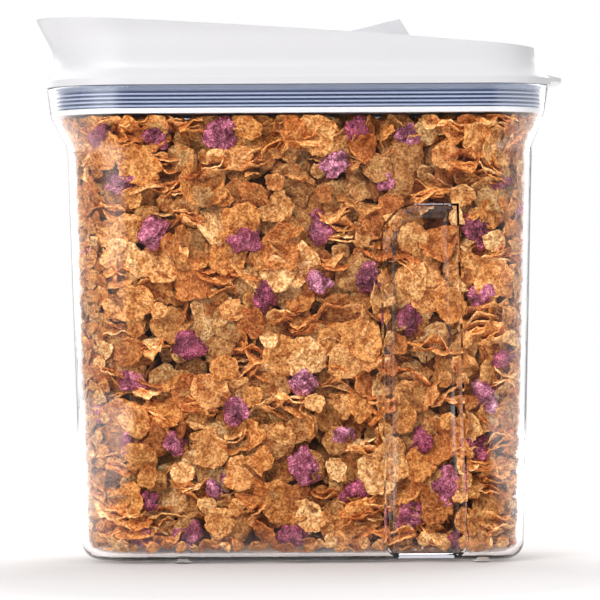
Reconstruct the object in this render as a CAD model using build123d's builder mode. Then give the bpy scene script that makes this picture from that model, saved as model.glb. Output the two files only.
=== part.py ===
"""Countertop cereal dispenser: a clear, tapered container with a flared neck and finger grooves,
closed by a press-in lid whose hinged spout cover tips open when its thumb lever is pushed down.

Millimetres, +Z up. The spout points along -X and the lid's pull tab along +X. The origin lies on
the surface that the feet stand on, midway between the tip of the spout and the tip of the tab.
"""

import os
from math import atan, cos, degrees, pi, sin, sqrt, tan

from build123d import *

# ---------------------------------------------------------------- driving dimensions
# Mouth: the outline of the container's rim, from which every other outline is inset.
mouth_length = 222.7
mouth_width = 107.2
front_corner = 37.5
rear_corner = 27.5

# Heights of the container.
foot_height = 1.2
body_height = 182.8
shoulder_height = 14.0
neck_height = 12.3

# Container walls.
wall = 2.5
floor_thickness = 3.0
neck_wall = 2.8
neck_draft = 0.6
rim_round = 0.9
base_edge_radius = 8.0
shoulder_radius = 14.0
neck_foot_radius = 10.0

# Insets from the mouth's outline: (front, rear, side).
neck_foot_inset = (1.5, 2.0, 1.4)
body_top_inset = (9.0, 7.4, 5.2)
body_foot_inset = (14.8, 12.1, 6.8)

# Moulded feet.
foot_radius = 4.0
foot_edge_radius = 0.7
front_foot_setback = 60.0
rear_foot_setback = 30.5
foot_spread = 68.0

# Finger grooves in both long sides.
groove_depth = 5.5
groove_rear_setback = 41.5
groove_length = 33.0
groove_lean = 6.0
groove_height = 156.0
groove_front_radius = 16.0
groove_rear_radius = 12.0
groove_floor_radius = 4.0

# Lid shell.
rim_gap = 0.3
lid_wall = 2.2
lip_thickness = 2.9
shelf_thickness = 2.4
shelf_reach = 3.0
spout_overhang = 4.8
tab_overhang = 6.5
spout_rise = 30.8
rim_rise_middle = 24.5
rim_rise_rear = 16.2
deck_drop = 7.5
deck_thickness = 2.4

# Pull tab at the rear of the lid.
tab_width = 58.0
tab_thickness = 1.7
tab_rise = 1.7
tab_corner = 14.0
tab_sweep_height = 5.5

# Spout cover and its hinge.
cover_clearance = 0.7
cover_gap = 1.6
cover_thickness = 2.4
cover_length = 132.0
cover_tail = 12.0
lever_half_width = 28.0
lever_foot = 21.5
lever_reach = 25.4
lever_slope = 13.5
lever_skirt = 7.3
lever_end_lean = 31.0
skirt_thickness = 2.4
knuckle_radius = 3.4
knuckle_width = 6.0
knuckle_gap = 0.6
pin_radius = 1.5
pin_clearance = 0.05
ear_thickness = 4.0
ear_gap = 0.6

# Pour opening, its liner and seal.
pour_length = 70.0
pour_half_width = 34.0
pour_setback = 14.0
pour_front_radius = 30.0
pour_rear_radius = 12.0
liner_clearance = 1.5
liner_depth = 6.0
liner_wall = 2.0
liner_roof = 1.2
seal_width = 4.5
seal_gap = 0.3

# Lid insert and the ribbed gasket round it.
insert_thickness = 2.2
insert_drop = 12.3
insert_clearance = 0.8
gasket_space = 2.9
gasket_core = 1.0
gasket_rib_gap = 0.3
gasket_pitch = 1.75
gasket_ribs = 4
gasket_rib_thickness = 0.95
gasket_band = 1.8
insert_wall = 2.0
chute_wall = 1.8
hook_thickness = 1.6
hook_width = 10.0
hook_bite = 1.2
hook_height = 2.0
hook_setbacks = (50.0, 105.0)
fit_gap = 0.3

# ---------------------------------------------------------------- derived places
overall_length = mouth_length + spout_overhang + tab_overhang
mouth_front = -overall_length / 2 + spout_overhang
mouth_rear = mouth_front + mouth_length

base_z = foot_height
shoulder_z = base_z + body_height
neck_z = shoulder_z + shoulder_height
rim_z = neck_z + neck_height
flange_z = rim_z + rim_gap

# The lid's outer surface, from the flange's lip to above the rim: (height, front, rear, side).
lid_sections = [
    (lip_thickness, -0.4, -1.0, -0.6),
    (5.0, 1.4, 1.6, 1.0),
    (7.4, 2.8, 3.8, 2.6),
    (11.0, 3.4, 5.6, 3.3),
    (18.0, 1.7, 6.2, 3.1),
    (24.7, -1.8, 6.2, 2.8),
    (spout_rise + 1.0, -spout_overhang - 0.35, 6.2, 2.5),
]
flange_inset = lid_sections[0][1:]
rear_wall_inset = lid_sections[-1][2]

# The rim runs down from the spout to the rear wall.
spout_tip_x = mouth_front - spout_overhang
rear_wall_x = mouth_rear - rear_wall_inset
spout_z = flange_z + spout_rise
rear_rim_z = flange_z + rim_rise_rear
deck_angle = atan((spout_z - rear_rim_z) / (rear_wall_x - spout_tip_x))
deck_x = (spout_tip_x + rear_wall_x) / 2
deck_z = (spout_z + rear_rim_z) / 2 - deck_drop
deck_plane = Plane(
    origin=(deck_x, 0, deck_z),
    x_dir=(cos(deck_angle), 0, -sin(deck_angle)),
    z_dir=(sin(deck_angle), 0, cos(deck_angle)),
)

cover_front_x = mouth_front + 2.0
hinge_x = cover_front_x + cover_length + 2.0
deck_end_x = hinge_x - knuckle_radius - 2.5
scoop_floor_z = flange_z + shelf_thickness
insert_z = flange_z - insert_drop
insert_top_z = insert_z + insert_thickness
ring_inset = neck_wall + gasket_space
ring_outline_inset = (ring_inset, ring_inset, ring_inset)
pour_front_x = mouth_front + pour_setback


def deck_height(x):
    """Height of the deck's upper face at a given x."""
    return deck_z - (x - deck_x) * tan(deck_angle)


def along_deck(x, rise):
    """Point (x, z) at a given distance above the deck's upper face."""
    return (x, deck_height(x) + rise / cos(deck_angle))


hinge_z = deck_height(hinge_x) + cover_gap - knuckle_radius - knuckle_gap


# ---------------------------------------------------------------- shared outlines
def outline(z, inset=(0, 0, 0), extra=0.0):
    """Rounded outline at height z: the mouth's, inset at its front, rear and sides."""
    front, rear, side = (value + extra for value in inset)
    length = mouth_length - front - rear
    with BuildSketch(Plane.XY.offset(z)) as sketch:
        with Locations((mouth_front + front + length / 2, 0)):
            Rectangle(length, mouth_width - 2 * side)
        fillet(sketch.vertices().group_by(Axis.X)[0], front_corner - (front + side) / 2)
        fillet(sketch.vertices().group_by(Axis.X)[-1], rear_corner - (rear + side) / 2)
    return sketch.sketch


def pour_outline(plane, extra=0.0):
    """Outline of the pour opening on a plane that is parallel to the deck or level."""
    with BuildSketch(plane) as sketch:
        centre = pour_front_x + pour_length / 2 - plane.origin.X
        with Locations((centre, 0)):
            Rectangle(pour_length + 2 * extra, 2 * (pour_half_width + extra))
        fillet(sketch.vertices().group_by(Axis.X)[0], pour_front_radius + extra)
        fillet(sketch.vertices().group_by(Axis.X)[-1], pour_rear_radius + extra)
    return sketch.sketch


def side_profile(points, half_width=mouth_width, centre_y=0.0):
    """Prism with the given corners (x, z), reaching half_width to each side of centre_y."""
    with BuildPart(mode=Mode.PRIVATE) as prism:
        with BuildSketch(Plane.XZ.offset(-centre_y)):
            Polygon(*points, align=None)
        extrude(amount=half_width, both=True)
    return prism.part


def cross_cylinder(radius, half_width, centre_y):
    """Cylinder along the hinge's axis, reaching half_width to each side of centre_y."""
    with BuildPart(mode=Mode.PRIVATE) as bar:
        with BuildSketch(Plane.XZ.offset(-centre_y)):
            with Locations((hinge_x, hinge_z)):
                Circle(radius)
        extrude(amount=half_width, both=True)
    return bar.part


# ---------------------------------------------------------------- container
def groove_cutter(extra=0.0):
    """Slanted-walled pocket of one finger groove; extra thickens it for the inside of the wall."""
    half = mouth_width / 2 - body_top_inset[2]
    rear_x = mouth_rear - groove_rear_setback
    front_x = rear_x - groove_length
    grow = extra * sqrt(2)
    top_z = base_z + groove_height
    bottom_z = -top_z / 10
    with BuildPart(mode=Mode.PRIVATE) as cutter:
        with BuildSketch(Plane.XZ.offset(half)) as face:
            Polygon(
                (front_x - grow, bottom_z),
                (rear_x + groove_lean + grow, bottom_z),
                (rear_x + grow, top_z + grow),
                (front_x - grow, top_z + grow),
                align=None,
            )
            top = face.vertices().group_by(Axis.Y)[-1].sort_by(Axis.X)
            fillet(top[0], groove_front_radius + grow)
            fillet(top[-1], groove_rear_radius + grow)
        extrude(amount=-(groove_depth + extra), taper=45)
        fillet(cutter.faces().sort_by(Axis.Y)[-1].edges(), groove_floor_radius + extra / 4)
    return cutter.part


with BuildPart() as container_outside:
    loft([outline(base_z, body_foot_inset), outline(shoulder_z, body_top_inset)], ruled=True)
    loft([outline(shoulder_z, body_top_inset), outline(neck_z, neck_foot_inset)], ruled=True)
    loft([outline(neck_z, neck_foot_inset), outline(rim_z)], ruled=True)
    waist = container_outside.edges().filter_by_position(Axis.Z, shoulder_z - 0.01, shoulder_z + 0.01)
    fillet(waist, shoulder_radius)
    neck_foot = container_outside.edges().filter_by_position(Axis.Z, neck_z - 0.01, neck_z + 0.01)
    fillet(neck_foot, neck_foot_radius)
    fillet(container_outside.faces().sort_by(Axis.Z)[0].edges(), base_edge_radius)
    groove = groove_cutter()
    add(groove, mode=Mode.SUBTRACT)
    add(mirror(groove, Plane.XZ, mode=Mode.PRIVATE), mode=Mode.SUBTRACT)

with BuildPart() as container_inside:
    inner_floor_z = base_z + floor_thickness
    neck_inset = (neck_wall, neck_wall, neck_wall)
    inner_neck_foot = outline(neck_z, neck_inset, neck_draft)
    cavity_foot = outline(inner_floor_z, body_foot_inset, wall)
    cavity_top = outline(shoulder_z, body_top_inset, wall)
    loft([cavity_foot, cavity_top], ruled=True)
    loft([outline(shoulder_z, body_top_inset, wall), inner_neck_foot], ruled=True)
    loft([inner_neck_foot, outline(rim_z, neck_inset)], ruled=True)
    waist = container_inside.edges().filter_by_position(Axis.Z, shoulder_z - 0.01, shoulder_z + 0.01)
    fillet(waist, shoulder_radius + wall)
    neck_foot = container_inside.edges().filter_by_position(Axis.Z, neck_z - 0.01, neck_z + 0.01)
    fillet(neck_foot, neck_foot_radius - wall)
    fillet(container_inside.faces().sort_by(Axis.Z)[0].edges(), base_edge_radius - wall)
    groove = groove_cutter(wall)
    add(groove, mode=Mode.SUBTRACT)
    add(mirror(groove, Plane.XZ, mode=Mode.PRIVATE), mode=Mode.SUBTRACT)

with BuildPart() as container:
    add(container_outside.part)
    add(container_inside.part, mode=Mode.SUBTRACT)
    foot_xs = (mouth_front + front_foot_setback, mouth_rear - rear_foot_setback)
    with BuildSketch(Plane.XY) as feet:
        with Locations(*[(x, side * foot_spread / 2) for x in foot_xs for side in (-1, 1)]):
            Circle(foot_radius)
    extrude(amount=foot_height + floor_thickness / 2)
    fillet(container.faces().group_by(Axis.Z)[0].edges(), foot_edge_radius)
    fillet(container.faces().sort_by(Axis.Z)[-1].edges(), rim_round)
    container.part.label = "container"

# ---------------------------------------------------------------- lid shell
def lid_body(extra=0.0, bottom=0.0):
    """Solid inside the lid's outer surface, inset by extra, starting at a height above the flange."""
    sections = [outline(flange_z + height, insets, extra) for height, *insets in lid_sections]
    with BuildPart(mode=Mode.PRIVATE) as body:
        extrude(outline(flange_z + bottom, flange_inset, extra), amount=lip_thickness - bottom)
        loft(sections)
    return body.part


far_x = overall_length
lid_outside = lid_body()
lid_inside = lid_body(lid_wall, shelf_thickness)

with BuildPart() as above_rim:
    with BuildSketch(Plane.XZ):
        with BuildLine():
            rim_curve = ThreePointArc(
                (spout_tip_x, spout_z),
                (0, flange_z + rim_rise_middle),
                (rear_wall_x, rear_rim_z),
            )
            Polyline(
                (rear_wall_x, rear_rim_z),
                (far_x, rear_rim_z),
                (far_x, spout_z + 20),
                (-far_x, spout_z + 20),
                (-far_x, spout_z),
                (spout_tip_x, spout_z),
            )
        make_face()
    extrude(amount=mouth_width, both=True)

deck_profile = [
    along_deck(-far_x, 0),
    along_deck(deck_end_x, 0),
    (deck_end_x, scoop_floor_z),
    (far_x, scoop_floor_z),
    (far_x, flange_z),
    (deck_end_x - deck_thickness, flange_z),
    along_deck(deck_end_x - deck_thickness, -deck_thickness),
    along_deck(-far_x, -deck_thickness),
]

with BuildPart() as deck:
    add(side_profile(deck_profile))
    add(lid_outside, mode=Mode.INTERSECT)

with BuildPart() as shelf_opening:
    extrude(outline(flange_z, ring_outline_inset, insert_wall + shelf_reach), amount=shelf_thickness)
    behind_deck = [
        (deck_end_x - deck_thickness, flange_z),
        (far_x, flange_z),
        (far_x, spout_z),
        (deck_end_x - deck_thickness, spout_z),
    ]
    add(side_profile(behind_deck), mode=Mode.SUBTRACT)

tab_tip_x = mouth_rear + tab_overhang
tab_root_x = mouth_rear - rear_wall_inset - lid_wall / 2
tab_top_z = flange_z + tab_rise + tab_thickness

with BuildPart() as tab:
    with BuildSketch(Plane.XZ):
        with BuildLine():
            Spline(
                (tab_tip_x, tab_top_z),
                (tab_root_x, tab_top_z + tab_sweep_height),
                tangents=((-1, 0.1), (-0.6, 1)),
            )
            Polyline(
                (tab_root_x, tab_top_z + tab_sweep_height),
                (tab_root_x, tab_top_z - tab_thickness),
                (tab_tip_x, tab_top_z - tab_thickness),
                (tab_tip_x, tab_top_z),
            )
        make_face()
    extrude(amount=tab_width / 2, both=True)
    with BuildSketch(Plane.XY.offset(flange_z)) as tab_plan:
        with Locations((tab_tip_x - far_x / 2, 0)):
            Rectangle(far_x, tab_width)
        fillet(tab_plan.vertices().group_by(Axis.X)[-1], tab_corner)
    extrude(amount=spout_rise, mode=Mode.INTERSECT)

ear_y = lever_half_width + ear_gap + ear_thickness / 2
knuckle_y = ear_y + ear_thickness / 2 + ear_gap + knuckle_width / 2

with BuildPart() as lid_shell:
    add(lid_outside)
    add(tab.part)
    add(lid_inside, mode=Mode.SUBTRACT)
    add(deck.part)
    add(shelf_opening.part, mode=Mode.SUBTRACT)
    pour_cut = pour_outline(deck_plane.offset(-2 * deck_thickness))
    extrude(pour_cut, amount=3 * deck_thickness, mode=Mode.SUBTRACT)
    for side in (-1, 1):
        add(cross_cylinder(knuckle_radius, ear_thickness / 2, side * ear_y))
        ear_leg = [
            (hinge_x + knuckle_radius * 0.6, hinge_z - knuckle_radius * 0.8),
            (hinge_x, hinge_z),
            (deck_end_x - deck_thickness / 2, hinge_z),
            (deck_end_x - deck_thickness / 2, scoop_floor_z + deck_thickness),
        ]
        add(side_profile(ear_leg, ear_thickness / 2, side * ear_y))
        add(cross_cylinder(pin_radius, ear_thickness, side * ear_y), mode=Mode.SUBTRACT)
    add(above_rim.part, mode=Mode.SUBTRACT)
    lid_shell.part.label = "lid_shell"

# ---------------------------------------------------------------- lid insert
with BuildPart() as lid_insert:
    insert_inset = (insert_clearance, insert_clearance, insert_clearance)
    ring_height = insert_drop - insert_thickness
    extrude(outline(insert_z, insert_inset, neck_wall + neck_draft), amount=insert_thickness)
    extrude(outline(insert_top_z, ring_outline_inset), amount=ring_height)
    ring_hollow = outline(insert_top_z, ring_outline_inset, insert_wall)
    extrude(ring_hollow, amount=ring_height, mode=Mode.SUBTRACT)
    extrude(pour_outline(Plane.XY.offset(insert_z), chute_wall), amount=spout_rise)
    extrude(pour_outline(Plane.XY.offset(insert_z)), amount=spout_rise, mode=Mode.SUBTRACT)
    above_chute = [
        along_deck(-far_x, -deck_thickness - fit_gap),
        along_deck(far_x, -deck_thickness - fit_gap),
        (far_x, spout_z + far_x),
        (-far_x, spout_z + far_x),
    ]
    add(side_profile(above_chute), mode=Mode.SUBTRACT)
    arm_y = mouth_width / 2 - ring_inset - insert_wall - shelf_reach - fit_gap - hook_thickness / 2
    hook_z = scoop_floor_z + fit_gap
    for side in (-1, 1):
        for setback in hook_setbacks:
            with BuildSketch(Plane.XY.offset(insert_top_z)):
                with Locations((mouth_front + setback, side * arm_y)):
                    Rectangle(hook_width, hook_thickness)
            extrude(amount=hook_z + hook_height - insert_top_z)
            with BuildSketch(Plane.XY.offset(hook_z)):
                with Locations((mouth_front + setback, side * (arm_y + hook_bite / 2))):
                    Rectangle(hook_width, hook_thickness + hook_bite)
            extrude(amount=hook_height)
    lid_insert.part.label = "lid_insert"

with BuildPart() as lid_gasket:
    rib_inset = neck_wall + neck_draft + gasket_rib_gap
    rib_outline_inset = (rib_inset, rib_inset, rib_inset)
    extrude(outline(insert_top_z, ring_outline_inset, -gasket_core), amount=ring_height - fit_gap)
    for rib in range(gasket_ribs):
        rib_z = insert_top_z + gasket_pitch / 4 + rib * gasket_pitch
        extrude(outline(rib_z, rib_outline_inset), amount=gasket_rib_thickness)
    band_z = flange_z - fit_gap - gasket_band
    extrude(outline(band_z, rib_outline_inset), amount=gasket_band)
    extrude(outline(insert_top_z, ring_outline_inset), amount=ring_height, mode=Mode.SUBTRACT)
    lid_gasket.part.label = "lid_gasket"

# ---------------------------------------------------------------- spout cover
lever_foot_x = hinge_x - lever_foot
lever_end_x = hinge_x + lever_reach
lever_top_x = lever_end_x - lever_skirt * tan(lever_end_lean * pi / 180)
tail_x = hinge_x + cover_tail
cover_top = cover_gap + cover_thickness
lever_foot_z = along_deck(lever_foot_x, cover_top)[1]
lever_top_z = lever_foot_z + (lever_top_x - lever_foot_x) * tan(lever_slope * pi / 180)

with BuildPart() as spout_cover:
    add(lid_body(lid_wall + cover_clearance, shelf_thickness))
    plate_profile = [
        along_deck(-far_x, cover_gap),
        along_deck(tail_x, cover_gap),
        along_deck(tail_x, cover_top),
        along_deck(-far_x, cover_top),
    ]
    add(side_profile(plate_profile), mode=Mode.INTERSECT)
    lever_profile = [
        along_deck(lever_foot_x, cover_gap),
        (lever_foot_x, lever_foot_z),
        (lever_top_x, lever_top_z),
        (lever_end_x, lever_top_z - lever_skirt),
        along_deck(tail_x, cover_gap),
    ]
    add(side_profile(lever_profile, lever_half_width))
    skirt_run = skirt_thickness / cos(lever_end_lean * pi / 180)
    ramp_drop = skirt_thickness / cos(lever_slope * pi / 180)
    hollow_foot_x = lever_foot_x + lever_foot / 2
    hollow_foot_z = lever_foot_z + lever_foot / 2 * tan(lever_slope * pi / 180) - ramp_drop
    hollow_top_x = lever_top_x - skirt_run
    hollow_top_z = lever_top_z - skirt_run * tan(lever_slope * pi / 180) - ramp_drop
    hollow_profile = [
        (hollow_foot_x, hinge_z),
        (hollow_foot_x, hollow_foot_z),
        (hollow_top_x, hollow_top_z),
        (lever_end_x - skirt_run, lever_top_z - lever_skirt),
        (lever_end_x - skirt_run, hinge_z),
    ]
    add(side_profile(hollow_profile, lever_half_width - skirt_thickness), mode=Mode.SUBTRACT)
    for side in (-1, 1):
        add(cross_cylinder(knuckle_radius, knuckle_width / 2, side * knuckle_y))
        web_profile = [
            (hinge_x - knuckle_radius, hinge_z),
            (hinge_x + knuckle_radius, hinge_z),
            along_deck(hinge_x + knuckle_radius, cover_gap + cover_thickness / 2),
            along_deck(hinge_x - knuckle_radius, cover_gap + cover_thickness / 2),
        ]
        add(side_profile(web_profile, knuckle_width / 2, side * knuckle_y))
        bore = cross_cylinder(pin_radius + pin_clearance, knuckle_width, side * knuckle_y)
        add(bore, mode=Mode.SUBTRACT)
    spout_cover.part.label = "spout_cover"

# ---------------------------------------------------------------- liner and seal under the cover
cover_underside = deck_plane.offset(cover_gap)

with BuildPart() as cover_liner:
    extrude(pour_outline(cover_underside, -liner_clearance), amount=-liner_depth)
    liner_hollow = pour_outline(cover_underside.offset(-liner_roof), -liner_clearance - liner_wall)
    extrude(liner_hollow, amount=-liner_depth, mode=Mode.SUBTRACT)
    cover_liner.part.label = "cover_liner"

with BuildPart() as cover_seal:
    seal_thickness = cover_gap - seal_gap
    extrude(pour_outline(cover_underside, seal_width - liner_clearance), amount=-seal_thickness)
    seal_hollow = pour_outline(cover_underside, -liner_clearance)
    extrude(seal_hollow, amount=-seal_thickness, mode=Mode.SUBTRACT)
    seal_underside = cover_seal.faces().sort_by(Axis(deck_plane.origin, deck_plane.z_dir))[0]
    fillet(seal_underside.edges(), seal_thickness / 3)
    cover_seal.part.label = "cover_seal"

# ---------------------------------------------------------------- hinge pins
def hinge_pin(side):
    """Pin from the inner face of one ear to just beyond the cover's knuckle."""
    inner_y = ear_y - ear_thickness / 2
    outer_y = knuckle_y + knuckle_width / 2 + ear_gap
    half = (outer_y - inner_y) / 2
    with BuildPart(mode=Mode.PRIVATE) as pin:
        add(cross_cylinder(pin_radius, half, side * (inner_y + half)))
        chamfer(pin.edges(), pin_radius / 5)
    return pin.part


with BuildPart() as hinge_pin_right:
    add(hinge_pin(-1))
    hinge_pin_right.part.label = "hinge_pin_right"

with BuildPart() as hinge_pin_left:
    add(hinge_pin(1))
    hinge_pin_left.part.label = "hinge_pin_left"

# ---------------------------------------------------------------- files
os.makedirs("parts", exist_ok=True)
export_step(container.part, "parts/container.step")
export_step(lid_shell.part, "parts/lid_shell.step")
export_step(lid_insert.part, "parts/lid_insert.step")
export_step(lid_gasket.part, "parts/lid_gasket.step")
export_step(spout_cover.part, "parts/spout_cover.step")
export_step(cover_liner.part, "parts/cover_liner.step")
export_step(cover_seal.part, "parts/cover_seal.step")
export_step(hinge_pin_right.part, "parts/hinge_pin_right.step")
export_step(hinge_pin_left.part, "parts/hinge_pin_left.step")
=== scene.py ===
"""Looks for the cereal dispenser: clear container filled with bran flakes and berry clusters, white lid."""
import math
import random

import bmesh
import bpy
import numpy as np
from mathutils import Matrix, Vector, noise
from mathutils.bvhtree import BVHTree


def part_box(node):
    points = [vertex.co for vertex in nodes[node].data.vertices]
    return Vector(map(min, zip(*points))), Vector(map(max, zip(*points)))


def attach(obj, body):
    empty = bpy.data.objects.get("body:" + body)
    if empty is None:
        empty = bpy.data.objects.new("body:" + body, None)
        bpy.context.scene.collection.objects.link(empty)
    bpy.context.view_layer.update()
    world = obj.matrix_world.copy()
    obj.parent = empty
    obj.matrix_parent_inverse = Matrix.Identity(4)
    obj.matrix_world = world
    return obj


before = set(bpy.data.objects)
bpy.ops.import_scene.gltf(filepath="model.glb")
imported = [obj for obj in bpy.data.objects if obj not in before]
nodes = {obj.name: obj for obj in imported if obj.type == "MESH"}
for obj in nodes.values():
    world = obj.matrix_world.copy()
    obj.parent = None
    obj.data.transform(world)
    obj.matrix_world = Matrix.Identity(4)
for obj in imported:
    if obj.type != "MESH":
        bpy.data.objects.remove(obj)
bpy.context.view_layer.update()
scene = bpy.context.scene

MM = 0.001
TURN = 6.28318
PHASE = 6.28  # random phases of the flakes' waves lie between 0 and this
WHITE = (1.0, 1.0, 1.0, 1.0)

# The cereal lies between the container's inner floor and the underside of the lid insert.
fill_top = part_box("lid_insert")[0][2] - 0.7 * MM
floor_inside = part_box("container")[0][2] + 4.2 * MM


# ---------------------------------------------------------------- node helpers
def srgb(r, g, b):
    """Linear RGBA of an 8-bit sRGB colour."""
    def lin(c):
        c /= 255.0
        return c / 12.92 if c <= 0.04045 else ((c + 0.055) / 1.055) ** 2.4
    return (lin(r), lin(g), lin(b), 1.0)


class Nodes:
    """Short calls that add and link the nodes of one tree; sockets are passed between them."""

    def __init__(self, tree):
        self.t = tree

    def add(self, kind, links=(), **values):
        """A new node; each value sets a property or, with _ for a space, an input."""
        n = self.t.nodes.new(kind)
        for key, value in values.items():
            if hasattr(n, key):
                setattr(n, key, value)
            else:
                n.inputs[key.replace("_", " ")].default_value = value
        for socket, source in dict(links).items():
            self.t.links.new(source, n.inputs[socket])
        return n

    def math(self, operation, *terms):
        """Result of a Math node; each term is a socket or a number."""
        n = self.add("ShaderNodeMath", operation=operation)
        for socket, term in zip(n.inputs, terms):
            if isinstance(term, float):
                socket.default_value = term
            else:
                self.t.links.new(term, socket)
        return n.outputs[0]

    def rise(self, value, start, end, low=0.0, high=1.0, **options):
        """Value mapped from start..end to low..high."""
        n = self.add("ShaderNodeMapRange", links={"Value": value}, **options)
        for socket, number in (("From Min", start), ("From Max", end), ("To Min", low), ("To Max", high)):
            n.inputs[socket].default_value = number
        return n.outputs[0]

    def eased(self, value, start, end, top=1.0):
        """Smooth rise from 0 where value is start to top where it is end."""
        return self.rise(value, start, end, high=top, interpolation_type="SMOOTHSTEP")


class Mat(Nodes):
    """A new material with a Principled shader, and its textures in object coordinates."""

    def __init__(self, name, **sockets):
        self.m = bpy.data.materials.new(name)
        self.m.use_nodes = True
        super().__init__(self.m.node_tree)
        self.shader = self.t.nodes["Principled BSDF"]
        self.out = self.t.nodes["Material Output"]
        self.coords = self.add("ShaderNodeTexCoord").outputs["Object"]
        for key, value in sockets.items():
            self.shader.inputs[key.replace("_", " ")].default_value = value

    def link(self, source, socket):
        self.t.links.new(source, self.shader.inputs[socket])

    def noise(self, scale, detail=3.0, rough=0.55, dist=0.0):
        n = self.add("ShaderNodeTexNoise", Scale=scale, Detail=detail, Roughness=rough, Distortion=dist)
        self.t.links.new(self.coords, n.inputs["Vector"])
        return n.outputs["Fac"]

    def ramp(self, fac, stops):
        """Colour by fac, from (position, colour) stops."""
        n = self.add("ShaderNodeValToRGB", links={"Fac": fac})
        r = n.color_ramp
        while len(r.elements) < len(stops):
            r.elements.new(0.5)
        for e, (pos, colour) in zip(r.elements, stops):
            e.position = pos
            e.color = colour if len(colour) == 4 else (*colour, 1.0)
        return n.outputs["Color"]

    def grey(self, fac, low, high):
        """Grey from low to high over the middle of fac's range."""
        return self.ramp(fac, [(0.3, (low, low, low)), (0.7, (high, high, high))])

    def multiply(self, a, b):
        n = self.add("ShaderNodeMix", data_type="RGBA", blend_type="MULTIPLY")
        n.inputs["Factor"].default_value = 1.0
        self.t.links.new(a, n.inputs[6])
        self.t.links.new(b, n.inputs[7])
        return n.outputs[2]

    def mix(self, fac, a, b):
        """Colour a where fac is 0 and b where it is 1; each is a socket or a colour."""
        n = self.add("ShaderNodeMix", data_type="RGBA")
        self.t.links.new(fac, n.inputs["Factor"])
        for socket, colour in ((n.inputs[6], a), (n.inputs[7], b)):
            if isinstance(colour, tuple):
                socket.default_value = colour
            else:
                self.t.links.new(colour, socket)
        return n.outputs[2]

    def bump(self, height, strength, distance, normal=None):
        n = self.add("ShaderNodeBump", links={"Height": height}, Strength=strength, Distance=distance)
        if normal:
            self.t.links.new(normal, n.inputs["Normal"])
        return n.outputs["Normal"]


# ---------------------------------------------------------------- materials
def clear_plastic():
    """Clear styrene: shadow and bounce light pass straight through, so that the cereal behind it is lit."""
    m = Mat("clear_plastic", Base_Color=WHITE, Roughness=0.0, IOR=1.46)
    m.shader.inputs["Transmission Weight"].default_value = 1.0
    m.link(m.bump(m.noise(14.0, 2.0, 0.4), 0.03, 0.0008), "Normal")
    through = m.add("ShaderNodeBsdfTransparent", Color=(0.97, 0.97, 0.97, 1.0))
    path = m.add("ShaderNodeLightPath").outputs
    soft_rays = m.math("MAXIMUM", path["Is Shadow Ray"], path["Is Diffuse Ray"])
    sides = {0: soft_rays, 1: m.shader.outputs[0], 2: through.outputs[0]}
    mix = m.add("ShaderNodeMixShader", links=sides)
    m.t.links.new(mix.outputs[0], m.out.inputs["Surface"])
    depth = m.add("ShaderNodeVolumeAbsorption", Color=(0.86, 0.85, 0.90, 1.0), Density=20.0)
    m.t.links.new(depth.outputs[0], m.out.inputs["Volume"])
    return m.m


def white_plastic(name, colour, rough):
    """Satin moulding: faintly cloudy, with a fine uneven sheen."""
    m = Mat(name, Roughness=rough, IOR=1.47)
    cloud = m.noise(14.0, 4.0, 0.6)
    dark = tuple(c * 0.985 for c in colour[:3])
    m.link(m.ramp(cloud, [(0.3, dark), (0.7, colour)]), "Base Color")
    fine = m.noise(900.0, 3.0, 0.6)
    m.link(m.grey(fine, rough - 0.05, rough + 0.07), "Roughness")
    m.link(m.bump(m.noise(1600.0, 2.0, 0.5), 0.06, 0.0002), "Normal")
    return m.m


def silicone():
    """Ribbed blue-grey rubber: painted shade in the grooves and painted highlight on the crests, by height
    in step with the ribs, with a paler strip of painted highlight along the top.
    """
    first_rib, rib_pitch, highlight_strip_height = 0.00091, 0.00175, 0.0019
    m = Mat("silicone", Roughness=0.24, IOR=1.42)
    low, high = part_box("lid_gasket")
    height = m.add("ShaderNodeSeparateXYZ", links={0: m.coords}).outputs["Z"]
    start = low.z + first_rib
    turns = m.rise(height, start, start + rib_pitch, high=TURN, clamp=False)
    unit = m.rise(m.math("COSINE", turns), -1.0, 1.0)
    # Painted shade and highlight: darkest in the rib grooves, palest on the crests.
    rib_shade_and_highlight = [(0.25, srgb(84, 96, 126)), (0.55, srgb(126, 138, 170)), (0.95, srgb(176, 187, 214))]
    # Painted highlight: a paler strip along the top of the gasket.
    highlight_strip = m.math("GREATER_THAN", height, high.z - highlight_strip_height)
    colour = m.mix(highlight_strip, m.ramp(unit, rib_shade_and_highlight), srgb(170, 181, 206))
    m.link(m.multiply(colour, m.grey(m.noise(30.0), 0.94, 1.04)), "Base Color")
    m.link(m.bump(m.noise(1200.0, 2.0, 0.5), 0.05, 0.0002), "Normal")
    return m.m


def pin_metal():
    """Drawn steel wire."""
    m = Mat("pin_metal", Base_Color=(0.6, 0.6, 0.62, 1.0), Metallic=1.0, Roughness=0.3)
    m.link(m.grey(m.noise(2200.0, 2.0, 0.5), 0.22, 0.42), "Roughness")
    return m.m


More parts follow.
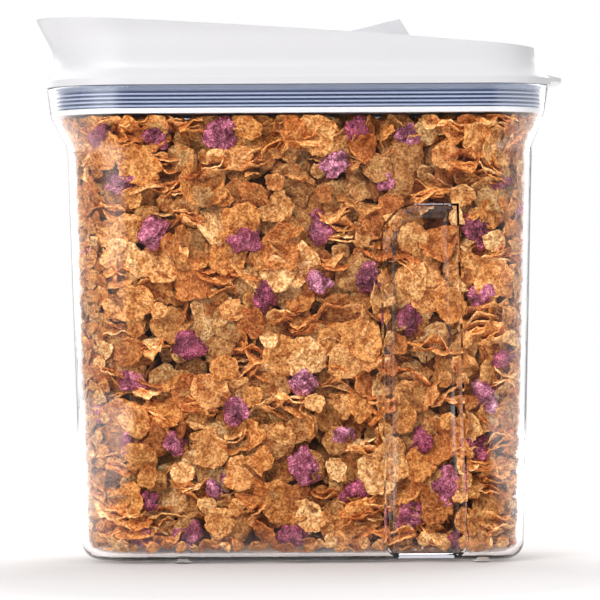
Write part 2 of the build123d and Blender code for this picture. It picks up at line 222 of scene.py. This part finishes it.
def flake_material():
    """Toasted bran: blistered surface, redder in its hollows and paler on its raised grain; this is partly
    the grain's own colour and partly painted shade in the hollows and painted highlight on the raised grain.
    """
    m = Mat("bran_flake", Roughness=0.6, IOR=1.4)
    tint = m.add("ShaderNodeAttribute", attribute_name="tint").outputs["Color"]
    grain = m.noise(840.0, 2.5, 0.6)
    patch = m.noise(250.0, 3.0, 0.6)
    fine = m.noise(1900.0, 2.0, 0.6)
    hollow, plain, raised = (0.60, 0.42, 0.30), (1.0, 0.94, 0.86), (1.34, 1.42, 1.50)
    dark_toast, mid_toast, pale_toast = (0.70, 0.52, 0.38), (1.0, 0.97, 0.93), (1.14, 1.19, 1.24)
    # The grain's own colour plus painted shade in its hollows and painted highlight on its raised grain,
    # from the same noise that raises the bump.
    grain_shade_and_highlight = m.ramp(grain, [(0.36, hollow), (0.50, plain), (0.64, raised)])
    toast = m.ramp(patch, [(0.40, dark_toast), (0.50, mid_toast), (0.60, pale_toast)])
    speckle = m.ramp(fine, [(0.40, (0.80, 0.72, 0.64)), (0.60, (1.13, 1.16, 1.20))])
    m.link(m.multiply(m.multiply(m.multiply(tint, grain_shade_and_highlight), toast), speckle), "Base Color")
    pits = m.bump(fine, 0.5, 0.0003)
    grains = m.bump(grain, 1.0, 0.0010, pits)
    m.link(m.bump(patch, 0.8, 0.0018, grains), "Normal")
    m.link(m.grey(grain, 0.46, 0.74), "Roughness")
    m.shader.inputs["Specular IOR Level"].default_value = 0.22
    return m.m


def berry_material():
    """Crumpled dried fruit: pale ridges between thin dark creases, which are level lines of a noise; the
    dark is painted shade and the pale is painted highlight, on the same noise as the bump.
    """
    m = Mat("berry_cluster", Roughness=0.42, IOR=1.42)
    tint = m.add("ShaderNodeAttribute", attribute_name="tint").outputs["Color"]
    fold = m.noise(430.0, 1.5, 0.5, dist=1.3)
    away = m.math("ABSOLUTE", m.math("SUBTRACT", fold, 0.5))
    dark, side, ridge_highlight = (0.26, 0.11, 0.15), (0.80, 0.68, 0.73), (1.42, 1.56, 1.50)
    # Painted shade in the creases and painted highlight on the ridges.
    fold_shade_and_highlight = m.ramp(away, [(0.0, dark), (0.035, side), (0.10, ridge_highlight)])
    dents = m.ramp(m.noise(170.0, 2.0, 0.6), [(0.42, (0.64, 0.47, 0.52)), (0.58, (1.42, 1.46, 1.44))])
    m.link(m.multiply(m.multiply(tint, fold_shade_and_highlight), dents), "Base Color")
    m.link(m.bump(away, 1.0, 0.005), "Normal")
    return m.m


def core_material():
    """Dark brown, almost without gloss: painted shade for the gaps between the flakes."""
    m = Mat("shade_core", Roughness=0.9)
    m.shader.inputs["Specular IOR Level"].default_value = 0.03
    lumps = m.noise(160.0, 5.0, 0.7)
    m.link(m.ramp(lumps, [(0.35, srgb(46, 18, 8)), (0.6, srgb(112, 60, 28))]), "Base Color")
    m.link(m.bump(m.noise(300.0, 4.0, 0.6), 0.9, 0.003), "Normal")
    return m.m


MATERIALS = {
    "container": clear_plastic(),
    "lid_shell": white_plastic("lid_white", srgb(209, 208, 211), 0.32),
    "lid_insert": white_plastic("insert_white", srgb(238, 239, 243), 0.4),
    "cover_liner": white_plastic("liner_white", srgb(238, 238, 240), 0.45),
    "lid_gasket": silicone(),
    "hinge_pin_right": pin_metal(),
}
MATERIALS["spout_cover"] = MATERIALS["lid_shell"]
MATERIALS["cover_seal"] = MATERIALS["lid_gasket"]
MATERIALS["hinge_pin_left"] = MATERIALS["hinge_pin_right"]
for name, material in MATERIALS.items():
    slots = nodes[name].material_slots
    for slot in slots:
        slot.material = material
    if not slots:
        nodes[name].data.materials.append(material)


# ---------------------------------------------------------------- inside surface of the container
def inside_faces():
    """Corner triples of the container's triangles that face the hollow, below the lid insert."""
    mesh = nodes["container"].data
    mesh.calc_loop_triangles()
    co = np.empty(len(mesh.vertices) * 3)
    mesh.vertices.foreach_get("co", co)
    world = np.array(nodes["container"].matrix_world)
    co = co.reshape(-1, 3) @ world[:3, :3].T + world[:3, 3]
    tri = np.empty(len(mesh.loop_triangles) * 3, dtype=np.int64)
    mesh.loop_triangles.foreach_get("vertices", tri)
    p = co[tri.reshape(-1, 3)]
    centre = p.mean(1)
    normal = np.cross(p[:, 1] - p[:, 0], p[:, 2] - p[:, 0])
    area = np.linalg.norm(normal, axis=1)
    normal /= np.maximum(area, 1e-12)[:, None]
    axis = np.stack([np.clip(centre[:, 0], -0.06, 0.06), np.zeros(len(p)), centre[:, 2]], 1)
    inward = ((axis - centre) * normal).sum(1) > 0.001
    bottom = (normal[:, 2] > 0.7) & (centre[:, 2] < floor_inside + 0.001)
    keep = (inward | bottom) & (area > 1e-10) & (centre[:, 2] > floor_inside - 0.001)
    return p[keep], normal[keep], area[keep] / 2


inner, inner_normal, inner_area = inside_faces()
corners = [tuple(v) for v in inner.reshape(-1, 3)]
wall_tree = BVHTree.FromPolygons(corners, [(i, i + 1, i + 2) for i in range(0, len(corners), 3)])


def depth_inside(point):
    """Distance from the inner wall, positive in the hollow."""
    place, normal, _, _ = wall_tree.find_nearest(point)
    return (point - place).dot(normal)


def scatter(spacing, top, tries=30000):
    """Points on the inner surface at least spacing apart, each with its normal."""
    cumulative = np.cumsum(inner_area)
    r = np.random.default_rng(int(spacing * 1e6))
    pick = np.searchsorted(cumulative, r.random(tries) * cumulative[-1])
    a, b = r.random(tries), r.random(tries)
    flip = a + b > 1
    a[flip], b[flip] = 1 - a[flip], 1 - b[flip]
    tri = inner[pick]
    points = tri[:, 0] + a[:, None] * (tri[:, 1] - tri[:, 0]) + b[:, None] * (tri[:, 2] - tri[:, 0])
    return thin(points, inner_normal[pick], spacing, top)


def thin(points, normals, spacing, top):
    """The points below top, less those nearer than spacing to one already kept, found in a grid of cells."""
    grid, kept = {}, []
    for p, n in zip(points, normals):
        if p[2] > top:
            continue
        key = tuple((p // spacing).astype(int))
        near = (q for i in (-1, 0, 1) for j in (-1, 0, 1) for k in (-1, 0, 1)
                for q in grid.get((key[0] + i, key[1] + j, key[2] + k), ()))
        if any(((p - q) ** 2).sum() < spacing * spacing for q in near):
            continue
        grid.setdefault(key, []).append(p)
        kept.append((Vector(p), Vector(n)))
    return kept


# ---------------------------------------------------------------- cereal pieces
def any_direction(r):
    """Random unit vector."""
    return Vector([r.gauss(0, 1) for _ in range(3)]).normalized()


def flake_shape(seed, segs, rings):
    """Closed, curled flake of unit radius, ragged in outline: (points, faces, edge share of each point)."""
    r = random.Random(seed)
    ph = [r.uniform(0, PHASE) for _ in range(8)]
    long_axis = r.uniform(1.0, 1.28)
    bend_a, bend_b = r.uniform(0.1, 0.55) * r.choice((-1, 1)), r.uniform(-0.3, 0.3)
    wave = r.uniform(0.05, 0.12)
    ruffles = [(k, r.uniform(0.4, 1.0) * 0.045, r.uniform(0, PHASE)) for k in (7, 11, 16)]
    lobes = [(k, r.uniform(0.3, 1.0) * (0.17 / k ** 0.7), ph[k % 8]) for k in (2, 3, 4, 5, 7, 9)]
    lobes += [(k, r.uniform(0.5, 1.0) * 0.028, ph[k % 8]) for k in (11, 14, 19)]

    def mid(u, t):
        edge = 1 + sum(a * math.sin(k * t + p) for k, a, p in lobes)
        x, y = u * edge * math.cos(t) * long_axis, u * edge * math.sin(t)
        z = bend_a * x * x + bend_b * y * y
        z += wave * u * u * (math.sin(3 * t + ph[6]) + 0.7 * math.sin(5 * t + ph[7]))
        z += u ** 4 * sum(a * math.sin(k * t + p) for k, a, p in ruffles)
        z += 0.18 * (noise.noise(Vector((x * 1.9 + seed, y * 1.9, 0.3))))
        z += 0.11 * noise.noise(Vector((x * 4.4 + seed, y * 4.4, 4.1)))
        z += 0.05 * noise.noise(Vector((x * 9.0 + seed, y * 9.0, 7.7)))
        return Vector((x, y, z))

    half_thickness = 0.062
    points, rim = [], []
    for side in (1, -1):
        points.append(mid(0, 0) + Vector((0, 0, side * half_thickness)))
        rim.append(0.0)
        for i in range(1, rings + 1):
            u = (i / rings) ** 0.8
            for j in range(segs):
                t = TURN * (j + 0.5 * (i % 2)) / segs
                uneven = noise.noise(Vector((i * 1.3 + seed, j * 0.9, side)))
                thick = half_thickness * (1 - 0.5 * u ** 4) * (1 + 0.35 * uneven)
                points.append(mid(u, t) + Vector((0, 0, side * thick)))
                rim.append(u)
    n = 1 + rings * segs
    faces = []
    for under in (False, True):
        def tri(a, b, c):
            if under:
                faces.append((a + n, c + n, b + n))
            else:
                faces.append((a, b, c))

        for j in range(segs):
            k = (j + 1) % segs
            tri(0, 1 + j, 1 + k)
            for i in range(1, rings):
                a, b = 1 + (i - 1) * segs, 1 + i * segs
                if i % 2:
                    tri(a + j, b + j, b + k)
                    tri(a + j, b + k, a + k)
                else:
                    tri(a + j, b + j, a + k)
                    tri(a + k, b + j, b + k)
    for j in range(segs):
        k = (j + 1) % segs
        a, b = 1 + (rings - 1) * segs + j, 1 + (rings - 1) * segs + k
        faces.append((a, a + n, b + n))
        faces.append((a, b + n, b))
    return np.array(points), np.array(faces), np.array(rim)


def berry_shape(seed, level):
    """Crumpled cluster of about unit radius: (points, faces, height share of each point)."""
    bm = bmesh.new()
    bmesh.ops.create_icosphere(bm, subdivisions=level, radius=1.0)
    bmesh.ops.triangulate(bm, faces=bm.faces)
    r = random.Random(seed)
    stretch = Vector((r.uniform(1.0, 1.5), r.uniform(0.72, 1.0), r.uniform(0.65, 0.9)))
    bumps = [(any_direction(r), r.uniform(0.42, 0.75)) for _ in range(10)]
    points, share = [], []
    for v in bm.verts:
        d = v.co.normalized()
        lump = max(0.0, max(1 - (d - c).length / w for c, w in bumps))
        q = d * 2.4 + Vector((seed * 3.1, 0, 0))
        fold = min(1.0, abs(noise.noise(q)) * 3.2)
        crimp = min(1.0, abs(noise.noise(q * 2.6 + Vector((5.0, 0, 0)))) * 3.0)
        h = 0.46 + 0.36 * math.sqrt(lump) + 0.14 * fold + 0.14 * crimp
        points.append(Vector((d.x * stretch.x, d.y * stretch.y, d.z * stretch.z)) * h)
        share.append(h)
    faces = [[v.index for v in f.verts] for f in bm.faces]
    bm.free()
    share = np.array(share)
    return np.array(points), np.array(faces), (share - share.min()) / (share.max() - share.min())


class Heap:
    """Gathers many small closed shapes into a few meshes."""

    def __init__(self, name, material, limit=150000):
        self.name, self.material, self.limit = name, material, limit
        self.batches = 0
        self.clear()

    def clear(self):
        self.p, self.f, self.c, self.count, self.faces = [], [], [], 0, 0

    def put(self, points, faces, colours):
        self.p.append(points)
        self.f.append(faces + self.count)
        self.c.append(colours)
        self.count += len(points)
        self.faces += len(faces)
        if self.faces > self.limit:
            self.flush()

    def flush(self):
        if not self.p:
            return
        p, f, c = np.concatenate(self.p), np.concatenate(self.f), np.concatenate(self.c)
        mesh = bpy.data.meshes.new(f"{self.name}_{self.batches + 1}")
        mesh.from_pydata(p.tolist(), [], f.tolist())
        mesh.polygons.foreach_set("use_smooth", np.ones(len(f), dtype=bool))
        # The 'tint' colours hold each piece's own colour together with its painted shade and painted
        # highlight.
        layer = mesh.color_attributes.new("tint", "FLOAT_COLOR", "POINT")
        layer.data.foreach_set("color", np.concatenate([c, np.ones((len(c), 1))], 1).ravel())
        mesh.materials.append(self.material)
        mesh.update()
        o = bpy.data.objects.new(mesh.name, mesh)
        scene.collection.objects.link(o)
        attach(o, "container")
        self.batches += 1
        self.clear()


FLAKE_TINTS = [srgb(*c)[:3] for c in (
    (236, 173, 107), (228, 162, 94), (216, 148, 82), (242, 186, 121), (206, 134, 74),
    (250, 203, 142), (197, 122, 66), (232, 168, 104), (220, 153, 86), (239, 180, 114))]
BERRY_TINTS = [srgb(*c)[:3] for c in (
    (216, 124, 150), (202, 106, 132), (226, 146, 172), (190, 92, 120), (208, 116, 142))]

fine_flakes = [flake_shape(11 + i, 36, 5) for i in range(16)]
mid_flakes = [flake_shape(41 + i, 24, 3) for i in range(14)]
plain_flakes = [flake_shape(71 + i, 14, 2) for i in range(10)]
berries = [berry_shape(5 + i, 4) for i in range(4)] + [berry_shape(15 + i, 3) for i in range(4)]
LEVEL = Vector((0, 0, 1))

SAMPLES = 46  # points of a shape that are measured while it settles
WALL_GAP = 0.0001
BERRY_SPACING = 0.0205
BERRY_SHARE = 0.56
BERRY_CLEARANCE = 0.0088
CRUMB_SPACING = 0.0048
LOW_CRUMBS = 0.006  # crumbs also lie on the flat walls up to this height over the inner floor

# Layers of flakes inward from the wall:
# spacing, shapes, gap to the wall, share lying flat, share in stacks, brightness (painted shade, darker for
# deeper layers).
WALL_LAYERS = (
    (0.0090, fine_flakes, (0.0001, 0.0022), 0.54, 0.32, 1.12),
    (0.0088, mid_flakes, (0.0030, 0.0058), 0.80, 0.12, 0.74),
    (0.0096, plain_flakes, (0.0064, 0.0090), 0.92, 0.0, 0.50),
)
# Layers downward from the top of the heap: depth, spacing, shapes.
TOP_LAYERS = ((0.004, 0.0120, fine_flakes), (0.011, 0.0120, mid_flakes), (0.018, 0.014, mid_flakes))
TOP_CLEARANCE = 0.0003


def lean(axis, spread, r):
    """Unit vector near axis, off by a random step of up to about spread."""
    return (axis + any_direction(r) * spread * r.random()).normalized()


def turn_to(axis, r):
    """Rotation that turns a shape's Z to axis, with a random spin about it."""
    spin = Matrix.Rotation(r.uniform(0, TURN), 3, "Z")
    return np.array(axis.to_track_quat("Z", "Y").to_matrix() @ spin)


def settle(points, place, normal, gap):
    """Moves a shape so that its nearest point is gap from the wall, and under the fill's top."""
    step = max(1, len(points) // SAMPLES)
    for _ in range(3):
        moved = points[::step] + np.array(place)
        near = min(depth_inside(Vector(v)) for v in moved)
        place = place + normal * (gap - near)
        high = (points[:, 2] + place.z).max()
        if high > fill_top:
            place.z -= high - fill_top
    moved = points[::step] + np.array(place)
    return place, min(depth_inside(Vector(v)) for v in moved)


def kept_inside(points):
    """The points, with any that reach into the wall moved back to just inside it."""
    for i, p in enumerate(points):
        place, normal, _, _ = wall_tree.find_nearest(p)
        near = (Vector(p) - place).dot(normal)
        if near < WALL_GAP:
            points[i] += np.array(normal * (WALL_GAP - near))
    return points


def place_shape(heap, shape, size, axis, point, normal, gap, colour_of, r):
    """Adds one shape at a wall point, gap inside the wall; False if it can't lie clear of the walls."""
    points, faces, share = shape
    turned = (points * size) @ turn_to(axis, r).T
    place, near = settle(turned, point + normal * gap, normal, gap)
    if near < WALL_GAP:
        return False
    heap.put(kept_inside(turned + np.array(place)), faces, colour_of(share))
    return True


def flake_colour(r, light=1.0, rim_highlight=0.3):
    """Colours for one flake's points: one tint, scaled by the layer's painted-shade brightness, and paler
    towards the rim as a painted highlight.
    """
    tint = np.array(r.choice(FLAKE_TINTS)) * r.uniform(0.82, 1.1) * light
    return lambda share: tint[None, :] * (0.9 + rim_highlight * share ** 4)[:, None]


def berry_colour(r):
    """Colours for one cluster's points: one tint, darker in the hollows as painted shade."""
    tint = np.array(r.choice(BERRY_TINTS))
    return lambda share: tint[None, :] * (0.34 + 1.0 * share)[:, None]


def flake_size(r):
    """Radius of a flake: mostly whole, some broken."""
    return r.uniform(0.0058, 0.0094) if r.random() > 0.22 else r.uniform(0.0034, 0.0056)


def lay_berries(clusters, r):
    """Clusters pressed to the wall, spread over it; returns where they lie."""
    lying = []
    for point, normal in scatter(BERRY_SPACING, fill_top - 0.004):
        if r.random() > BERRY_SHARE:
            continue
        axis = lean(normal, 2.0, r)
        size = r.uniform(0.0062, 0.0092)
        shape, gap = r.choice(berries), r.uniform(0.0002, 0.0028)
        if place_shape(clusters, shape, size, axis, point, normal, gap, berry_colour(r), r):
            lying.append(point)
    return lying


def lay_wall_flakes(flakes, berry_points, r):
    """Three layers of flakes inward from the wall, each darker by painted shade: flat, in level stacks, or
    at random.
    """
    for layer, (spacing, shapes, gaps, flat_share, stack_share, light) in enumerate(WALL_LAYERS):
        for point, normal in scatter(spacing, fill_top - 0.001):
            near_berry = min(((point - q).length for q in berry_points), default=1)
            if layer == 0 and near_berry < BERRY_CLEARANCE:
                continue
            kind = r.random()
            if flat_share <= kind < flat_share + stack_share:
                lay_stack(flakes, point, normal, gaps, light, r)
                continue
            spread = 0.5 if kind < flat_share else 3.0
            place_shape(flakes, r.choice(shapes), flake_size(r), lean(normal, spread, r), point, normal,
                        r.uniform(*gaps), flake_colour(r, light), r)


def lay_stack(flakes, point, normal, gaps, light, r):
    """Nearly level flakes one above another, with their rims to the wall."""
    axis = lean(LEVEL, 0.5, r)
    pitch = r.uniform(0.0017, 0.0026)
    for i in range(r.choice((2, 3, 3, 4))):
        spot = point + LEVEL * (pitch * i)
        place_shape(flakes, r.choice(mid_flakes), flake_size(r), lean(axis, 0.3, r), spot, normal,
                    r.uniform(*gaps), flake_colour(r, light, 0.45), r)


def lay_crumbs(flakes, r):
    """Small broken pieces against the rounded corners and the two end walls."""
    for point, normal in scatter(CRUMB_SPACING, fill_top - 0.001):
        at_end = abs(normal.y) < 0.8 and normal.z < 0.5
        if at_end or floor_inside < point.z < floor_inside + LOW_CRUMBS:
            place_shape(flakes, r.choice(plain_flakes), r.uniform(0.0024, 0.0042), lean(normal, 0.5, r),
                        point, normal, r.uniform(0.0001, 0.0006), flake_colour(r), r)


def open_spots(depth, spacing):
    """Points at one depth under the heap's top, spread over the container's inside."""
    low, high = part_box("container")
    cells = np.random.default_rng(int(depth * 1e4)).random((9000, 2))
    x = low[0] + cells[:, 0] * (high[0] - low[0])
    y = low[1] + cells[:, 1] * (high[1] - low[1])
    spots = np.column_stack([x, y, np.full(len(cells), fill_top - depth)])
    near = [p for p in spots if abs(p[1]) < 0.048 and -0.104 < p[0] < 0.102]
    inside = [p for p in near if depth_inside(Vector(p)) > 0.006]
    return [point for point, _ in thin(np.array(inside), [LEVEL] * len(inside), spacing, 1.0)]


def clear_of_wall(points, step):
    """Whether every step-th point is TOP_CLEARANCE or more from the wall."""
    return min(depth_inside(Vector(v)) for v in points[::step]) >= TOP_CLEARANCE


def lay_top(flakes, clusters, r):
    """The top of the heap, level under the lid, with a few clusters in its first layer."""
    for depth, spacing, shapes in TOP_LAYERS:
        for point in open_spots(depth, spacing):
            axis = lean(LEVEL, 0.7, r) if r.random() < 0.8 else lean(LEVEL, 3.0, r)
            points, faces, share = r.choice(shapes)
            turned = (points * r.uniform(0.0062, 0.0095)) @ turn_to(axis, r).T
            place = np.array(point)
            place[2] -= max(0.0, turned[:, 2].max() + place[2] - fill_top)
            if not clear_of_wall(turned + place, 4):
                continue
            flakes.put(kept_inside(turned + place), faces, flake_colour(r)(share))
            if depth < 0.01 and r.random() < 0.06:
                lay_top_cluster(clusters, place, r)


def lay_top_cluster(clusters, beside, r):
    """One cluster half over the flake at beside, level with the heap's top."""
    points, faces, share = r.choice(berries)
    body = points * r.uniform(0.0055, 0.0072)
    place = beside + np.array((0.006, 0.004, 0))
    place[2] = fill_top - 0.0005 - body[:, 2].max()
    if clear_of_wall(body + place, 9):
        clusters.put(kept_inside(body + place), faces, berry_colour(r)(share))


def fill_container():
    """All the loose pieces, gathered into meshes that ride on the container."""
    flakes = Heap("flakes", flake_material())
    clusters = Heap("berries", berry_material())
    r = random.Random(3)
    berry_points = lay_berries(clusters, r)
    lay_wall_flakes(flakes, berry_points, r)
    lay_crumbs(flakes, r)
    lay_top(flakes, clusters, r)
    flakes.flush()
    clusters.flush()


def core():
    """Dark, lumpy mass in the middle of the heap, so that no light shows through it; its dark brown is
    painted shade seen in the gaps between the flakes.
    """
    segs, levels = 72, 26
    low_z, high_z = floor_inside + 0.003, fill_top - 0.020
    points = []
    for i in range(levels):
        z = low_z + (high_z - low_z) * i / (levels - 1)
        for j in range(segs):
            t = TURN * j / segs
            d = Vector((math.cos(t), math.sin(t), 0))
            hit = wall_tree.ray_cast(Vector((0, 0, z)), d)[0]
            reach = (hit.length ** 2 - z * z) ** 0.5 if hit else 0.04
            away = 0.0125 / max(abs(d.y), abs(d.x) * 0.5, 0.35)
            lump = 0.0022 * noise.noise(Vector((d.x * reach, d.y * reach, z)) * 120)
            points.append(d * (reach - away + lump) + Vector((0, 0, z)))
    points += [Vector((0, 0, low_z)), Vector((0, 0, high_z))]
    faces = []
    for i in range(levels - 1):
        for j in range(segs):
            k = (j + 1) % segs
            faces.append((i * segs + j, i * segs + k, (i + 1) * segs + k, (i + 1) * segs + j))
    last = (levels - 1) * segs
    for j in range(segs):
        k = (j + 1) % segs
        faces.append((len(points) - 2, k, j))
        faces.append((len(points) - 1, last + j, last + k))
    mesh = bpy.data.meshes.new("shade_core")
    mesh.from_pydata(points, [], faces)
    mesh.polygons.foreach_set("use_smooth", [True] * len(faces))
    mesh.materials.append(core_material())
    o = bpy.data.objects.new("shade_core", mesh)
    scene.collection.objects.link(o)
    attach(o, "container")


fill_container()
core()


# ---------------------------------------------------------------- floor, light and camera
def make_floor():
    """Round white table: the object's shadow shows near it, and it fades to plain white further out.
    Mirrored rays see it dark in front of the object, so that no veil lies over the cereal."""
    segs, radius = 64, 1.6
    mesh = bpy.data.meshes.new("studio_floor")
    turns = [TURN * i / segs for i in range(segs)]
    ring = [(radius * math.cos(t), radius * math.sin(t), -0.0001) for t in turns]
    mesh.from_pydata(ring, [], [tuple(range(segs))])
    m = Mat("studio_floor", Roughness=0.8, Emission_Color=WHITE)
    m.shader.inputs["Specular IOR Level"].default_value = 0.1
    path = m.add("ShaderNodeLightPath").outputs
    paint = m.ramp(m.noise(2.0), [(0.3, (0.66, 0.65, 0.65)), (0.7, (0.68, 0.67, 0.67))])
    from_shadow = m.add("ShaderNodeVectorMath", operation="SUBTRACT", links={0: m.coords})
    from_shadow.inputs[1].default_value = (0.0, -0.14, 0.0)
    distance = m.add("ShaderNodeVectorMath", operation="LENGTH", links={0: from_shadow.outputs[0]})
    # Painted light: the floor glows, though it is no lamp, for direct, refracted and some mirrored rays;
    # least near the object, where its shadow shows, rising to plain white further out.
    glow = m.rise(distance.outputs["Value"], 0.12, 0.52, low=0.11)
    mirrored = m.math("MINIMUM", path["Glossy Depth"], 1.0)
    place = m.add("ShaderNodeSeparateXYZ", links={0: m.coords}).outputs
    before = m.eased(place["Y"], 0.0, -0.32)
    narrow = m.eased(m.math("ABSOLUTE", place["X"]), 0.6, 0.22)
    ahead = m.math("MULTIPLY", mirrored, m.math("MULTIPLY", before, narrow))
    beside = m.math("SUBTRACT", mirrored, ahead)
    seen = m.math("MAXIMUM", path["Is Camera Ray"], path["Is Transmission Ray"])
    direct = m.math("GREATER_THAN", seen, mirrored)
    m.link(m.mix(ahead, paint, (0.02, 0.02, 0.02, 1.0)), "Base Color")
    m.link(m.math("MULTIPLY", glow, m.math("ADD", direct, beside)), "Emission Strength")
    mesh.materials.append(m.m)
    o = bpy.data.objects.new("studio_floor", mesh)
    scene.collection.objects.link(o)


def area(name, place, target, size, power, mirrored=True):
    """Soft box of size (width, height) that points at target; mirrored says whether reflections show it."""
    data = bpy.data.lights.new(name, "AREA")
    data.shape, data.energy = "RECTANGLE", power
    data.size, data.size_y = size
    o = bpy.data.objects.new(name, data)
    o.location = place
    o.rotation_euler = (Vector(target) - Vector(place)).to_track_quat("-Z", "Y").to_euler()
    o.visible_glossy = o.visible_transmission = mirrored
    scene.collection.objects.link(o)


def make_world():
    """White surroundings. Mirrored rays see them dim in front, bright behind, with two soft side panels."""
    world = bpy.data.worlds.new("studio")
    scene.world = world
    world.use_nodes = True
    w = Nodes(world.node_tree)
    back = w.t.nodes["Background"]
    back.inputs["Color"].default_value = WHITE
    path = w.add("ShaderNodeLightPath").outputs
    way = w.add("ShaderNodeTexCoord").outputs["Generated"]
    way = w.add("ShaderNodeSeparateXYZ", links={0: way}).outputs
    behind = w.math("ADD", w.eased(way["Y"], -0.85, 0.1, 0.72), 0.13)
    left = w.math("MULTIPLY", w.eased(way["X"], -0.22, -0.5, 2.2), w.eased(way["X"], -0.94, -0.72))
    left = w.math("MULTIPLY", left, w.eased(way["Z"], -0.05, 0.02))
    right = w.eased(way["X"], 0.4, 0.85, 0.6)
    mirror = w.math("ADD", behind, w.math("ADD", left, right))
    mirrored = w.math("MINIMUM", path["Glossy Depth"], 1.0)
    strength = 0.42
    levels = ((path["Is Transmission Ray"], 0.94), (mirrored, mirror), (path["Is Camera Ray"], 1.0))
    for share, level in levels:
        rest = w.math("SUBTRACT", 1.0, share)
        strength = w.math("ADD", w.math("MULTIPLY", strength, rest), w.math("MULTIPLY", share, level))
    w.t.links.new(strength, back.inputs["Strength"])


def make_camera():
    """Long lens, level with the middle of the object and square to its side, rolled very slightly."""
    data = bpy.data.cameras.new("camera")
    data.sensor_width = 36.0
    data.lens = 253.6
    data.clip_end = 20.0
    o = bpy.data.objects.new("camera", data)
    upright = Matrix.Rotation(math.pi / 2, 4, "X")
    roll = Matrix.Rotation(math.radians(-0.3), 4, "Z")
    o.matrix_world = Matrix.Translation((0.0, -1.9, 0.116)) @ upright @ roll
    scene.collection.objects.link(o)
    scene.camera = o


make_floor()
make_world()
make_camera()
area("key", (-0.55, -1.35, 1.05), (0, 0, 0.12), (0.7, 0.7), 14.0)
area("top", (0.05, 0.45, 1.5), (0, 0, 0.1), (1.0, 1.0), 9.0)
area("back_fill", (0.7, 1.5, 0.9), (0, 0, 0.12), (0.9, 0.9), 7.0)
area("soft_left", (-0.85, -1.05, 0.58), (0, 0, 0.15), (0.85, 0.95), 6.0, mirrored=False)
area("soft_right", (1.1, -0.95, 0.58), (0, 0, 0.15), (1.3, 0.95), 5.0, mirrored=False)
scene.view_settings.view_transform = "Standard"
